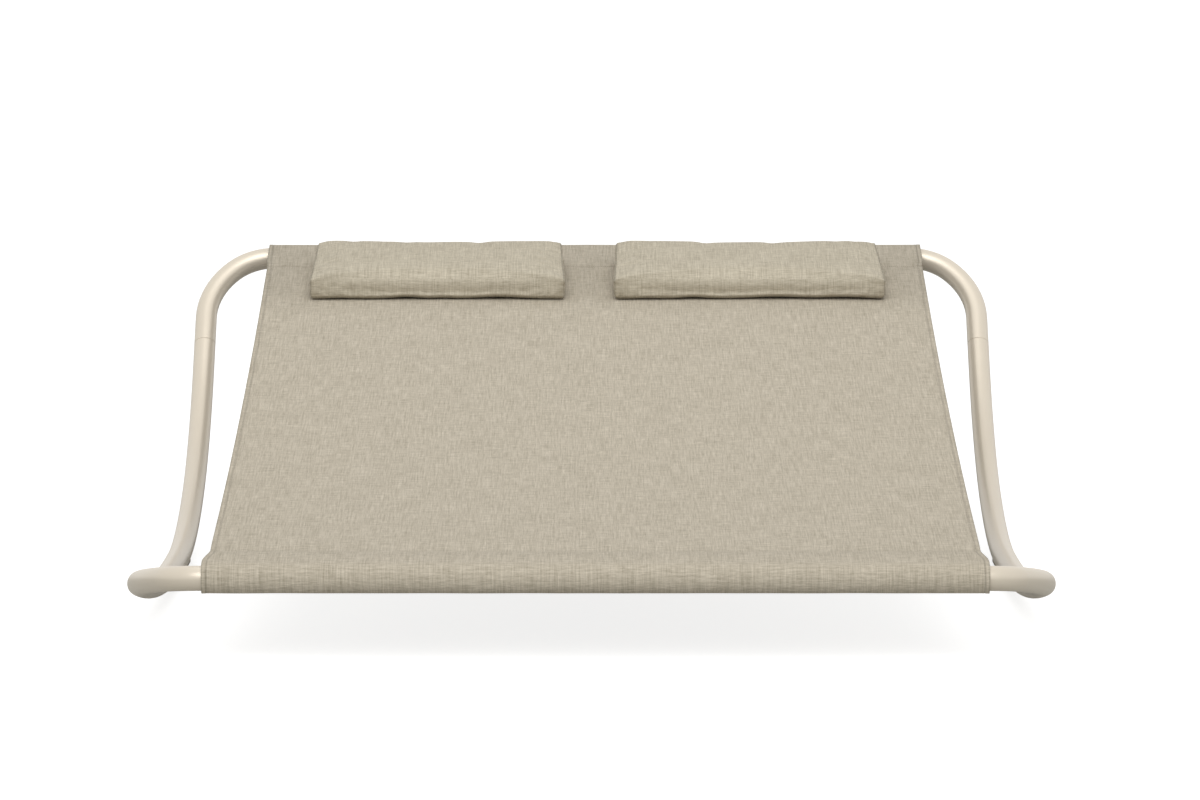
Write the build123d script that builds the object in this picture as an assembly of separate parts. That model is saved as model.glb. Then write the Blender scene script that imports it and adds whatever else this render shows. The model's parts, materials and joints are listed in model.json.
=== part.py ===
from build123d import *
import os
from math import acos, atan2, cos, degrees, hypot, radians, sin, sqrt

# Double chaise lounger: a loop of round tube that also makes the skids, a sling
# stretched between its two bars, and two head pillows.
# X runs across the lounger, Y from the foot bar to the head bar, Z up from the
# floor. The origin lies on the floor, midway between the two bars.

# Frame tube
tube_diameter = 38.0
tube_wall = 1.5
tube_end_bevel = 0.8
rail_spacing = 1390.0

# Bow corners: a tight bend beside the bar, then a wider one that eases into the leg
corner_turn = 90.0
head_bend_radius = 105.0
head_bend_turn = 45.0
head_ease_radius = 156.0
head_joint_distance = 203.0
foot_bend_radius = 70.0
foot_bend_turn = 60.0
foot_ease_radius = 410.0
foot_joint_distance = 290.0

# Side rail profile, from the foot bar back to the head bar
foot_angle = 9.45
belly_radius = 4690.0
belly_flat = 73.0
knee_radius = 1190.0
knee_angle = 18.6
back_radius = 810.0
back_angle = 45.5
head_run = 253.0

# Inner sleeves and their screws at the four frame joints
sleeve_length = 80.0
sleeve_wall = 2.0
sleeve_clearance = 0.15
joint_screw_pitch = 40.0
joint_screw_diameter = 6.0
joint_screw_length = 12.0
joint_screw_head = 11.0
joint_screw_head_height = 3.2
joint_screw_socket = 3.4
joint_screw_socket_depth = 2.0
screw_hole_ease = 0.3
thread_ease = 0.05
seat_gap = 0.1

# Floor glides
glide_drop = 6.0
glide_width = 22.0
glide_length = 60.0
glide_chamfer = 1.5
glide_tube_gap = 0.2
glide_screw_diameter = 4.8
glide_screw_head = 9.0
glide_screw_head_height = 2.6
glide_screw_recess = 1.5
glide_screw_depth = 7.0
front_glide_place = 920.0
rear_glide_place = 1200.0

# Sling
sling_shift = 6.0
sling_cloth = 1.5
sling_sag = 30.0
pocket_width = 1182.0
pocket_radius = 22.0
pocket_seat_gap = 0.3
foot_pocket_step = 8.0
head_pocket_step = 2.0
pocket_taper_start = 12.0
foot_pocket_depth = 87.0
head_pocket_depth = 125.0
hem_width = 9.0
hem_thickness = 1.2
layer_gap = 0.3

# Pillows
left_pillow_width = 450.0
right_pillow_width = 479.0
left_pillow_offset = 278.0
right_pillow_offset = 273.0
pillow_depth = 228.0
pillow_height = 49.0
pillow_rear_set = 103.0
pillow_corner = 14.0
pillow_draw = 5.0
pillow_cloth = 1.5
zip_length = 300.0
zip_height = 6.0
zip_rise = 17.0
zip_cut_depth = 30.0
tape_length = 120.0
tape_width = 25.0
tape_thickness = 0.8
tape_spread = 150.0

# Pillow outline: at each share of the height, the share of the depth by which
# the four sides stand in from the widest line
pillow_section_shares = (
    (0.00, 0.020),
    (0.08, 0.005),
    (0.35, 0.000),
    (0.62, 0.006),
    (0.69, 0.018),
    (0.77, 0.045),
    (0.85, 0.090),
    (0.92, 0.150),
    (0.97, 0.230),
    (1.00, 0.330),
)

half_circle = 180.0
tube_radius = tube_diameter / 2
bore_radius = tube_radius - tube_wall
sleeve_radius = bore_radius - sleeve_clearance
rail_x = rail_spacing / 2
sides = (("left", -1), ("right", 1))


def ahead(point, heading, distance):
    angle = radians(heading)
    return (point[0] + distance * cos(angle), point[1] + distance * sin(angle))


def around(point, heading, radius, turn):
    # End of an arc that leaves the point at the heading and climbs by the turn
    start = radians(heading)
    end = radians(heading + turn)
    return (point[0] + radius * (sin(end) - sin(start)), point[1] + radius * (cos(start) - cos(end)))


def corner_points(start, bend_radius, bend_turn, ease_radius):
    # A bow's corner in plan: its start, the middle and end of each bend, with X along
    # the bar and Y along the leg
    ease_turn = corner_turn - bend_turn
    bend_end = around(start, 0, bend_radius, bend_turn)
    return [
        start,
        around(start, 0, bend_radius, bend_turn / 2),
        bend_end,
        around(bend_end, bend_turn, ease_radius, ease_turn / 2),
        around(bend_end, bend_turn, ease_radius, ease_turn),
    ]


head_corner = (head_bend_radius, head_bend_turn, head_ease_radius)
foot_corner = (foot_bend_radius, foot_bend_turn, foot_ease_radius)
head_corner_width, head_corner_depth = corner_points((0, 0), *head_corner)[-1]
foot_corner_width, foot_corner_depth = corner_points((0, 0), *foot_corner)[-1]

# Corners of the side rail profile, with the foot bar's centre at (0, 0)
belly_start = ahead((0, 0), -foot_angle, foot_corner_depth)
foot_joint_turn = degrees((foot_joint_distance - foot_corner_depth) / belly_radius)
foot_joint = around(belly_start, -foot_angle, belly_radius, foot_joint_turn)
foot_joint_angle = foot_joint_turn - foot_angle
belly_end = around(belly_start, -foot_angle, belly_radius, foot_angle)
knee_start = ahead(belly_end, 0, belly_flat)
back_start = around(knee_start, 0, knee_radius, knee_angle)
back_end = around(back_start, knee_angle, back_radius, back_angle - knee_angle)
head_joint = ahead(back_end, back_angle, head_run - head_joint_distance)
head_bar = ahead(back_end, back_angle, head_run)
head_corner_end = ahead(head_bar, back_angle, -head_corner_depth)

half_span = head_bar[0] / 2
foot_bar_height = tube_radius + glide_drop - belly_end[1]


def placed(point, x=0):
    # A point of the rail profile, set in the lounger's own frame
    return Vector(x, point[0] - half_span, point[1] + foot_bar_height)


def arc_in_profile(start, heading, radius, turn, x):
    middle = around(start, heading, radius, turn / 2)
    end = around(start, heading, radius, turn)
    return ThreePointArc(placed(start, x), placed(middle, x), placed(end, x))


def ring(outer, inner, path):
    section = Plane(origin=path @ 0, z_dir=path % 0)
    return sweep(section * (Circle(outer) - Circle(inner)), path=path)


def frame_tube(path):
    # The tube with the outer edge of both its ends bevelled, which shows as a fine ring at a joint
    tube = ring(tube_radius, bore_radius, path)
    rims = [edge for edge in tube.edges().filter_by(GeomType.CIRCLE) if is_end_rim(edge, path)]
    return chamfer(rims, tube_end_bevel)


def is_end_rim(edge, path):
    at_end = min((edge.arc_center - path @ share).length for share in (0, 1)) < tube_wall
    return at_end and abs(edge.radius - tube_radius) < tube_wall / 2 and edge.is_closed


def rail_path(x):
    edges = [
        arc_in_profile(foot_joint, foot_joint_angle, belly_radius, -foot_joint_angle, x),
        Line(placed(belly_end, x), placed(knee_start, x)),
        arc_in_profile(knee_start, 0, knee_radius, knee_angle, x),
        arc_in_profile(back_start, knee_angle, back_radius, back_angle - knee_angle, x),
        Line(placed(back_end, x), placed(head_joint, x)),
    ]
    return Wire(edges)


def head_leg(x):
    return Line(placed(head_corner_end, x), placed(head_joint, x))


def foot_leg(x):
    return arc_in_profile(belly_start, -foot_angle, belly_radius, foot_joint_turn, x)


def bow_path(bar, away, corner, corner_width, leg):
    # A bar with a corner and a leg at each end; away is the legs' heading at the bar
    plan = corner_points((rail_x - corner_width, 0), *corner)
    edges = []
    for side in (-1, 1):
        points = [placed(ahead(bar, away, along), side * across) for across, along in plan]
        edges.append(ThreePointArc(*points[:3]))
        edges.append(ThreePointArc(*points[2:]))
        edges.append(leg(side * rail_x))
    edges.append(Line(placed(bar, plan[0][0]), placed(bar, -plan[0][0])))
    return Wire(edges)


def rail_height(place):
    # Height of the rail's centreline over the belly and the knee
    if place < belly_end[0]:
        rise = belly_radius - sqrt(belly_radius**2 - (belly_end[0] - place) ** 2)
    elif place < knee_start[0]:
        rise = 0
    else:
        rise = knee_radius - sqrt(knee_radius**2 - (place - knee_start[0]) ** 2)
    return belly_end[1] + rise


def joint_frames(joint, heading, x):
    # One frame for each of a joint's two screws, Z outwards: on the underside of a head
    # joint, and on the inner side of a foot joint, where nothing stands out below the skid
    along = Vector(0, cos(radians(heading)), sin(radians(heading)))
    under = Vector(0, sin(radians(heading)), -cos(radians(heading)))
    inner = Vector(-x, 0, 0).normalized()
    out = inner if joint == foot_joint else under
    frames = []
    for step in (-joint_screw_pitch / 2, joint_screw_pitch / 2):
        centre = placed(ahead(joint, heading, step), x)
        frames.append(Plane(origin=centre + out * tube_radius, x_dir=along, z_dir=out))
    return frames


def drill(radius, depth, frame):
    # A round cut that reaches the depth below the frame and clears the tube above it
    start = frame.offset(tube_radius)
    return extrude(start * Circle(radius), amount=-(tube_radius + depth))


def joint_screw(frame):
    head_plane = frame.offset(seat_gap)
    head = extrude(head_plane * Circle(joint_screw_head / 2), amount=joint_screw_head_height)
    head = fillet(head.edges().sort_by(lambda edge: (edge.center() - frame.origin).dot(frame.z_dir))[-1],
                  joint_screw_head_height / 2)
    socket_plane = head_plane.offset(joint_screw_head_height)
    hexagon = socket_plane * RegularPolygon(joint_screw_socket / 2, 6)
    socket = extrude(hexagon, amount=-joint_screw_socket_depth)
    shank_length = joint_screw_length + seat_gap
    shank = extrude(head_plane * Circle(joint_screw_diameter / 2), amount=-shank_length)
    return head - socket + shank


def head_sleeve_path(x):
    start = ahead(head_joint, back_angle, -sleeve_length / 2)
    end = ahead(head_joint, back_angle, sleeve_length / 2)
    return Line(placed(start, x), placed(end, x))


def foot_sleeve_path(x):
    half_turn = degrees(sleeve_length / 2 / belly_radius)
    start = around(foot_joint, foot_joint_angle, belly_radius, -half_turn)
    return arc_in_profile(start, foot_joint_angle - half_turn, belly_radius, 2 * half_turn, x)


def sleeve(path, joint, heading, x):
    tube = ring(sleeve_radius, sleeve_radius - sleeve_wall, path)
    for frame in joint_frames(joint, heading, x):
        tube -= drill(joint_screw_diameter / 2 + thread_ease, joint_screw_length, frame)
    return tube


def with_joint_holes(tube, joint, heading, x):
    for frame in joint_frames(joint, heading, x):
        tube -= drill(joint_screw_diameter / 2 + screw_hole_ease, joint_screw_length, frame)
    return tube


def glide_frame(place, x):
    # On the floor below the rail, Z pointing down
    return Plane(origin=(x, place - half_span, 0), x_dir=(1, 0, 0), z_dir=(0, 0, -1))


def glide(place, x):
    height = rail_height(place) + foot_bar_height
    block = Pos(x, place - half_span, height / 2) * Box(glide_width, glide_length, height)
    low_edges = block.edges().group_by(Axis.Z)[0]
    block = chamfer(low_edges, glide_chamfer)
    path = rail_path(x)
    section = Plane(origin=path @ 0, z_dir=path % 0)
    saddle = sweep(section * Circle(tube_radius + glide_tube_gap), path=path)
    frame = glide_frame(place, x)
    hole = extrude(frame * Circle(glide_screw_diameter / 2 + screw_hole_ease), amount=-height)
    recess_depth = glide_screw_recess + glide_screw_head_height + seat_gap
    recess = extrude(frame * Circle(glide_screw_head / 2 + screw_hole_ease), amount=-recess_depth)
    body = block - saddle - hole - recess
    return body.solids().sort_by(Axis.Z)[0]


def glide_screw(place, x):
    frame = glide_frame(place, x)
    length = rail_height(place) + foot_bar_height - bore_radius + glide_screw_depth
    seat = frame.offset(-glide_screw_recess)
    head = extrude(seat * Circle(glide_screw_head / 2), amount=-glide_screw_head_height)
    shank = extrude(seat * Circle(glide_screw_diameter / 2), amount=-(length - glide_screw_recess))
    return head + shank


def with_glide_hole(tube, place, x):
    frame = glide_frame(place, x)
    depth = rail_height(place) + foot_bar_height
    return tube - extrude(frame * Circle(glide_screw_diameter / 2 + thread_ease), amount=-depth)


# Sling plane: X runs up the chord from the foot bar to the head bar, Y stands
# square to it and Z runs across the lounger
chord = hypot(head_bar[0], head_bar[1])
chord_slope = degrees(atan2(head_bar[1], head_bar[0]))
sling_plane = Plane(
    origin=placed((0, 0), sling_shift),
    x_dir=(0, cos(radians(chord_slope)), sin(radians(chord_slope))),
    z_dir=(1, 0, 0),
)
pocket_outer = pocket_radius + sling_cloth
pocket_offset = pocket_radius - tube_radius - pocket_seat_gap
panel_start = pocket_offset
panel_end = chord - pocket_offset
panel_length = panel_end - panel_start
panel_radius = (panel_length**2 / 4 + sling_sag**2) / (2 * sling_sag)


def panel_drop(place):
    # How far the sagging panel lies below the straight line, at a place along the chord
    from_middle = place - chord / 2
    return sqrt(panel_radius**2 - from_middle**2) - (panel_radius - sling_sag)


def strip(start, end, top, thickness):
    # Side view of a layer that follows the panel's sag, its top a distance above the chord
    middle = (start + end) / 2
    upper = ThreePointArc(*[(place, top - panel_drop(place)) for place in (start, middle, end)])
    low = top - thickness
    lower = ThreePointArc(*[(place, low - panel_drop(place)) for place in (end, middle, start)])
    return make_face([upper, Line(upper @ 1, lower @ 0), lower, Line(lower @ 1, upper @ 0)])


def teardrop(centre, radius, tip):
    # Side view of a loop round a bar, drawn to a point where the cloth is sewn down
    run = tip[0] - centre
    reach = hypot(run, tip[1])
    aim = degrees(atan2(tip[1], run))
    spread = degrees(acos(radius / reach))
    first = ahead((centre, 0), aim + spread, radius)
    far = ahead((centre, 0), aim, -radius)
    last = ahead((centre, 0), aim - spread, radius)
    return make_face([Line(tip, first), ThreePointArc(first, far, last), Line(last, tip)])


def sling():
    side_view = strip(panel_start, panel_end, pocket_outer, sling_cloth)
    ends = ((panel_start, foot_pocket_depth), (panel_end, chord - head_pocket_depth))
    for centre, seam in ends:
        low = pocket_outer - panel_drop(seam) - 2 * sling_cloth
        side_view += teardrop(centre, pocket_outer, (seam, low))
    for centre, seam in ends:
        inside = pocket_outer - panel_drop(seam) - sling_cloth - layer_gap
        side_view -= teardrop(centre, pocket_radius, (seam, inside))
    cloth = extrude(sling_plane * side_view, amount=pocket_width / 2, both=True)
    for side in (-1, 1):
        waste = [
            (pocket_taper_start, side * pocket_width / 2),
            *panel_edge(side, 0),
            (chord - pocket_taper_start, side * pocket_width / 2),
        ]
        cloth -= plan_prism(waste)
    return cloth


def panel_edge(side, inset):
    # Plan of the panel's side edge between the two pocket seams, or of a line inside it
    return [
        (foot_pocket_depth, side * (pocket_width / 2 - foot_pocket_step - inset)),
        (chord - head_pocket_depth, side * (pocket_width / 2 - head_pocket_step - inset)),
    ]


def plan_prism(corners):
    plan = Plane(origin=sling_plane.origin, x_dir=sling_plane.x_dir, z_dir=sling_plane.y_dir)
    face = make_face(Polyline(*corners, close=True))
    return extrude(plan * face, amount=pocket_radius + sling_sag, both=True)


def hem(side):
    top = pocket_outer - sling_cloth - layer_gap
    view = strip(foot_pocket_depth, chord - head_pocket_depth, top, hem_thickness)
    band = extrude(sling_plane * view, amount=pocket_width / 2, both=True)
    return band & plan_prism(panel_edge(side, 0) + panel_edge(side, hem_width)[::-1])


# Pillow frame: on the panel near the head bar, Z square to the panel there
pillow_place = chord - pillow_rear_set - pillow_depth / 2
pillow_from_middle = pillow_place - chord / 2
pillow_lean = degrees(atan2(pillow_from_middle, sqrt(panel_radius**2 - pillow_from_middle**2)))
pillow_slope = chord_slope + pillow_lean
pillow_lift = 2 * tape_thickness + 3 * layer_gap


def pillow_plane(x):
    surface = sling_plane.from_local_coords(
        Vector(pillow_place, pocket_outer - panel_drop(pillow_place), 0))
    across = (0, -sin(radians(pillow_slope)), cos(radians(pillow_slope)))
    return Plane(origin=(sling_shift + x, surface.Y, surface.Z), x_dir=(1, 0, 0), z_dir=across)


def pillow_outline(width, depth, inset, level):
    # Four sides that draw in between round corners
    right = width / 2 - inset
    rear = depth / 2 - inset
    corner = pillow_corner
    points = [
        (right, corner - rear), (right - pillow_draw, 0), (right, rear - corner),
        (right - corner, rear), (0, rear - pillow_draw), (corner - right, rear),
        (-right, rear - corner), (pillow_draw - right, 0), (-right, corner - rear),
        (corner - right, -rear), (0, pillow_draw - rear), (right - corner, -rear),
    ]
    edges = []
    for first in range(0, len(points), 3):
        start, middle, end = points[first:first + 3]
        following = points[(first + 3) % len(points)]
        centre = (min(abs(end[0]), abs(following[0])), min(abs(end[1]), abs(following[1])))
        sign = (1 if end[0] + following[0] > 0 else -1, 1 if end[1] + following[1] > 0 else -1)
        reach = corner * sqrt(0.5)
        turn = (sign[0] * (centre[0] + reach), sign[1] * (centre[1] + reach))
        edges.append(ThreePointArc(start, middle, end))
        edges.append(ThreePointArc(end, turn, following))
    return Plane.XY.offset(level) * make_face(edges)


def pillow_form(width, inset):
    # The crowned body, drawn in by the inset on every side
    height = pillow_height - 2 * inset
    sections = []
    for height_share, inset_share in pillow_section_shares:
        stand_in = inset + inset_share * pillow_depth
        level = pillow_lift + inset + height_share * height
        sections.append(pillow_outline(width, pillow_depth, stand_in, level))
    return loft(sections, ruled=True)


def zip_slot(ease):
    size = (zip_length + 2 * ease, zip_cut_depth, zip_height + 2 * ease)
    return Pos(0, pillow_depth / 2, pillow_lift + zip_rise) * Box(*size)


def tapes(level):
    strips = []
    for side in (-1, 1):
        middle = level + tape_thickness / 2
        strips.append(Pos(side * tape_spread, 0, middle) * Box(tape_width, tape_length, tape_thickness))
    return strips


def write(name, *solids):
    shape = solids[0] if len(solids) == 1 else Compound(children=list(solids))
    shape.label = name
    export_step(shape, f"parts/{name}.step")


def bare(shape):
    # The single solid inside a result
    return shape.solids()[0]


os.makedirs("parts", exist_ok=True)

joints = (
    ("head", head_joint, back_angle, head_sleeve_path),
    ("foot", foot_joint, foot_joint_angle, foot_sleeve_path),
)
head_bow_path = bow_path(head_bar, back_angle - half_circle, head_corner, head_corner_width, head_leg)
foot_bow_path = bow_path((0, 0), -foot_angle, foot_corner, foot_corner_width, foot_leg)
bows = {"head": frame_tube(head_bow_path), "foot": frame_tube(foot_bow_path)}
for end, joint, heading, _ in joints:
    for side_name, side in sides:
        bows[end] = with_joint_holes(bows[end], joint, heading, side * rail_x)
    write(f"{end}_bow", bare(bows[end]))

for side_name, side in sides:
    x = side * rail_x
    rail = frame_tube(rail_path(x))
    for end, joint, heading, _ in joints:
        rail = with_joint_holes(rail, joint, heading, x)
    for place in (front_glide_place, rear_glide_place):
        rail = with_glide_hole(rail, place, x)
    write(f"side_rail_{side_name}", bare(rail))
    write(f"glide_front_{side_name}", glide(front_glide_place, x))
    write(f"glide_rear_{side_name}", glide(rear_glide_place, x))

for end, joint, heading, sleeve_path in joints:
    screws = []
    for side_name, side in sides:
        x = side * rail_x
        write(f"{end}_sleeve_{side_name}", bare(sleeve(sleeve_path(x), joint, heading, x)))
        screws += [bare(joint_screw(frame)) for frame in joint_frames(joint, heading, x)]
    write(f"{end}_joint_screws", *screws)

glide_screws = []
for side_name, side in sides:
    for place in (front_glide_place, rear_glide_place):
        glide_screws.append(bare(glide_screw(place, side * rail_x)))
write("glide_screws", *glide_screws)

write("sling", bare(sling()))
for side_name, side in sides:
    write(f"sling_hem_{side_name}", bare(hem(side)))

pillows = (
    ("left", -left_pillow_offset, left_pillow_width),
    ("right", right_pillow_offset, right_pillow_width),
)
for side_name, x, width in pillows:
    place = pillow_plane(x).location
    shell = pillow_form(width, 0) - pillow_form(width, pillow_cloth)
    write(f"pillow_cover_{side_name}", bare(place * (shell - zip_slot(layer_gap))))
    write(f"pillow_zip_{side_name}", bare(place * (shell & zip_slot(0))))
    write(f"pillow_core_{side_name}", bare(place * pillow_form(width, pillow_cloth + layer_gap)))
    hooks = [bare(place * tape) for tape in tapes(layer_gap + tape_thickness + layer_gap)]
    loops = [bare(place * tape) for tape in tapes(layer_gap)]
    write(f"pillow_hook_tapes_{side_name}", *hooks)
    write(f"sling_loop_tapes_{side_name}", *loops)
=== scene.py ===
import json
from bisect import bisect_left
from math import acos, asin, atan2, cos, exp, hypot, pi, radians, sin, sqrt

import bpy
from mathutils import Matrix, Vector, noise
from mathutils.bvhtree import BVHTree
from mathutils.kdtree import KDTree


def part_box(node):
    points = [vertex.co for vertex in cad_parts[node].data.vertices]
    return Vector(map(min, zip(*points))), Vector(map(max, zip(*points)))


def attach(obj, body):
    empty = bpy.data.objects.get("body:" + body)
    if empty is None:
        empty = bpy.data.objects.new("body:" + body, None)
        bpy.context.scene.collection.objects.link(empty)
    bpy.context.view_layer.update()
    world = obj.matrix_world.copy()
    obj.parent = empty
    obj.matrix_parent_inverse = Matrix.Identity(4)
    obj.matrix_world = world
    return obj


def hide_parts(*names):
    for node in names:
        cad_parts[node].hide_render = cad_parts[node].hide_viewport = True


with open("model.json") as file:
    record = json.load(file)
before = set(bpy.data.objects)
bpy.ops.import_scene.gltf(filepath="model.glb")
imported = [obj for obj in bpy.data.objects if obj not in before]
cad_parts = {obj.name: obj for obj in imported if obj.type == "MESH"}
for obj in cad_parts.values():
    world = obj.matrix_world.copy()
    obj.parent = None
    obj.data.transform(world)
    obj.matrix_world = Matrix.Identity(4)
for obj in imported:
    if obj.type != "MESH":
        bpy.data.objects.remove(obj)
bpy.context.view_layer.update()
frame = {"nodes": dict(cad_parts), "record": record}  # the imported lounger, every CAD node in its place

scene = bpy.context.scene
mm = 0.001
beadStep = 10


# Small helpers

def hexColour(code):
    # an sRGB hex value as linear light
    parts = [int(code[start:start + 2], 16) / 255 for start in (0, 2, 4)]
    linear = [part / 12.92 if part <= 0.04045 else ((part + 0.055) / 1.055) ** 2.4 for part in parts]
    return (*linear, 1.0)


def addNode(tree, kind, inputs=None, **settings):
    # one node with its settings, its constants and its links
    node = tree.nodes.new(kind)
    for name, value in settings.items():
        setattr(node, name, value)
    for name, value in (inputs or {}).items():
        socket = node.inputs[name]
        if isinstance(value, bpy.types.NodeSocket):
            tree.links.new(value, socket)
        else:
            socket.default_value = value
    return node


def newMaterial(name):
    # an empty node tree with its output
    material = bpy.data.materials.new(name)
    material.use_nodes = True
    tree = material.node_tree
    tree.nodes.clear()
    return material, tree, tree.nodes.new("ShaderNodeOutputMaterial")


def selectOnly(piece):
    if bpy.context.object and bpy.context.object.mode != "OBJECT":
        bpy.ops.object.mode_set(mode="OBJECT")
    bpy.ops.object.select_all(action="DESELECT")
    piece.select_set(True)
    bpy.context.view_layer.objects.active = piece


def applyModifiers(piece):
    selectOnly(piece)
    for modifier in list(piece.modifiers):
        bpy.ops.object.modifier_apply(modifier=modifier.name)


def finishPiece(piece, material, body, smoothAngle=None):
    # one material, soft shading, and the CAD body it rides on
    piece.data.materials.clear()
    piece.data.materials.append(material)
    selectOnly(piece)
    if smoothAngle is None:
        bpy.ops.object.shade_smooth()
    else:
        bpy.ops.object.shade_smooth_by_angle(angle=radians(smoothAngle))
    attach(piece, body)


def gridPiece(name, across, along):
    # a flat grid to be shaped, with its place from 0 to 1 each way kept in the UV map
    bpy.ops.object.select_all(action="DESELECT")
    bpy.ops.mesh.primitive_grid_add(x_subdivisions=across, y_subdivisions=along, size=1, calc_uvs=True)
    piece = bpy.context.object
    piece.name = name
    piece.data.name = name
    return piece


def thicken(piece, thickness):
    # a sheet given its thickness, half to each side
    solid = piece.modifiers.new("thickness", "SOLIDIFY")
    solid.thickness = thickness
    solid.offset = 0
    applyModifiers(piece)


def beadRow(name, count, way):
    # a row of round beads, one unit across and beadStep apart, to be laid where they belong
    bpy.ops.object.select_all(action="DESELECT")
    bpy.ops.mesh.primitive_uv_sphere_add(segments=6, ring_count=4, radius=0.5)
    piece = bpy.context.object
    piece.name = name
    piece.data.name = name
    row = piece.modifiers.new("row", "ARRAY")
    row.count = count
    row.use_relative_offset = False
    row.use_constant_offset = True
    row.constant_offset_displace = [beadStep * part for part in way]
    applyModifiers(piece)
    return piece


def smoothStep(low, high, value):
    t = min(max((value - low) / (high - low), 0), 1)
    return t * t * (3 - 2 * t)


def bell(distance, width):
    return exp(-(distance / width) ** 2)


def uneven(x, y, spread):
    # smooth unevenness, with its waves per metre each way and its seed
    return noise.noise(Vector((x * spread[0], y * spread[1], spread[2])))


# Camera: level with the photograph, far back, looking slightly down

cameraSetup = {
    "lens": 180.0,  # mm on a 36 mm sensor
    "place": (0.0, -9.912, 1.2569),
    "pitchDown": 5.5,
    "shiftRight": 0.0071,
}

bpy.ops.object.camera_add(location=cameraSetup["place"],
                          rotation=(radians(90 - cameraSetup["pitchDown"]), 0, 0))
camera = bpy.context.object
camera.data.lens = cameraSetup["lens"]
camera.data.sensor_width = 36
camera.data.shift_x = cameraSetup["shiftRight"]
camera.data.clip_end = 200
scene.camera = camera
print("camera placed")


# Studio: white floor that keeps a soft shadow, an even sky, a softbox overhead and a fill in front

studio = {
    "floorSize": 160.0,
    "floorSeen": "B3B3B2",
    "floorGlow": 0.82,
    "floorBounce": "C9C9C6",
    "skyLight": 0.48,
    "boxPlace": (0.0, -0.3, 2.8),
    "boxSize": (2.6, 2.0),
    "boxWatts": 14.0,
    "fillLight": 1.45,
    "fillWidth": 46.0,
    "fillRise": 41.0,
    "fillPlace": (0.0, -4.0, 2.0),
}

scene.view_settings.view_transform = "Standard"

bpy.ops.object.select_all(action="DESELECT")
bpy.ops.mesh.primitive_plane_add(size=studio["floorSize"], location=(0, 0, 0))
floor = bpy.context.object
floor.name = "studioFloor"
paperMaterial, tree, output = newMaterial("paperFloor")
path = addNode(tree, "ShaderNodeLightPath")
seenPaper = addNode(tree, "ShaderNodeBsdfDiffuse", {"Color": hexColour(studio["floorSeen"])})
seenGlow = addNode(tree, "ShaderNodeEmission", {"Color": (1, 1, 1, 1), "Strength": studio["floorGlow"]})
seen = addNode(tree, "ShaderNodeAddShader", {0: seenPaper.outputs[0], 1: seenGlow.outputs[0]})
bounced = addNode(tree, "ShaderNodeBsdfDiffuse", {"Color": hexColour(studio["floorBounce"])})
mixed = addNode(tree, "ShaderNodeMixShader",
                {0: path.outputs["Is Camera Ray"], 1: bounced.outputs[0], 2: seen.outputs[0]})
below = addNode(tree, "ShaderNodeNewGeometry")
clear = addNode(tree, "ShaderNodeBsdfTransparent")
oneSided = addNode(tree, "ShaderNodeMixShader",
                   {0: below.outputs["Backfacing"], 1: mixed.outputs[0], 2: clear.outputs[0]})
tree.links.new(oneSided.outputs[0], output.inputs["Surface"])
floor.data.materials.append(paperMaterial)

world = bpy.data.worlds.new("studioSky")
world.use_nodes = True
scene.world = world
tree = world.node_tree
tree.nodes.clear()
path = addNode(tree, "ShaderNodeLightPath")
seenOrGlossy = addNode(tree, "ShaderNodeMath", operation="MAXIMUM", inputs={
    0: path.outputs["Is Camera Ray"], 1: path.outputs["Is Glossy Ray"]})
seesWhite = addNode(tree, "ShaderNodeMath", operation="MAXIMUM", inputs={
    0: seenOrGlossy.outputs[0], 1: path.outputs["Is Transmission Ray"]})
skyStrength = addNode(tree, "ShaderNodeMapRange",
                      {"Value": seesWhite.outputs[0], "To Min": studio["skyLight"], "To Max": 1.0})
sky = addNode(tree, "ShaderNodeBackground", {"Color": (1, 1, 1, 1), "Strength": skyStrength.outputs[0]})
addNode(tree, "ShaderNodeOutputWorld", {"Surface": sky.outputs[0]})

bpy.ops.object.light_add(type="AREA", location=studio["boxPlace"])
softbox = bpy.context.object
softbox.name = "overheadSoftbox"
softbox.data.shape = "RECTANGLE"
softbox.data.size, softbox.data.size_y = studio["boxSize"]
softbox.data.energy = studio["boxWatts"]

bpy.ops.object.light_add(type="SUN", location=studio["fillPlace"],
                         rotation=(radians(90 - studio["fillRise"]), 0, 0))
fill = bpy.context.object
fill.name = "frontFill"
fill.data.energy = studio["fillLight"]
fill.data.angle = radians(studio["fillWidth"])
print("studio lit")


# Materials

def powderCoat():
    # champagne powder coat on steel tube: satin, with a fine orange peel
    material, tree, output = newMaterial("powderCoatedSteel")
    place = addNode(tree, "ShaderNodeTexCoord")
    peelGrain = 1.4 * mm
    cloudSpan = 111.1 * mm
    peel = addNode(tree, "ShaderNodeTexNoise",
                   {"Vector": place.outputs["Object"], "Scale": 1 / peelGrain, "Detail": 2.0})
    cloud = addNode(tree, "ShaderNodeTexNoise",
                    {"Vector": place.outputs["Object"], "Scale": 1 / cloudSpan, "Detail": 3.0})
    tone = addNode(tree, "ShaderNodeMix", {"Factor": cloud.outputs["Fac"], "A": hexColour("DACFBD"),
                                           "B": hexColour("DFD5C4")}, data_type="RGBA")
    bump = addNode(tree, "ShaderNodeBump",
                   {"Height": peel.outputs["Fac"], "Strength": 0.12, "Distance": 0.05 * mm})
    rough = addNode(tree, "ShaderNodeMapRange", {"Value": peel.outputs["Fac"], "To Min": 0.3, "To Max": 0.4})
    coat = addNode(tree, "ShaderNodeBsdfPrincipled",
                   {"Base Color": tone.outputs["Result"], "Metallic": 0.3, "Roughness": rough.outputs[0],
                    "Normal": bump.outputs[0]})
    tree.links.new(coat.outputs[0], output.inputs["Surface"])
    return material


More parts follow.
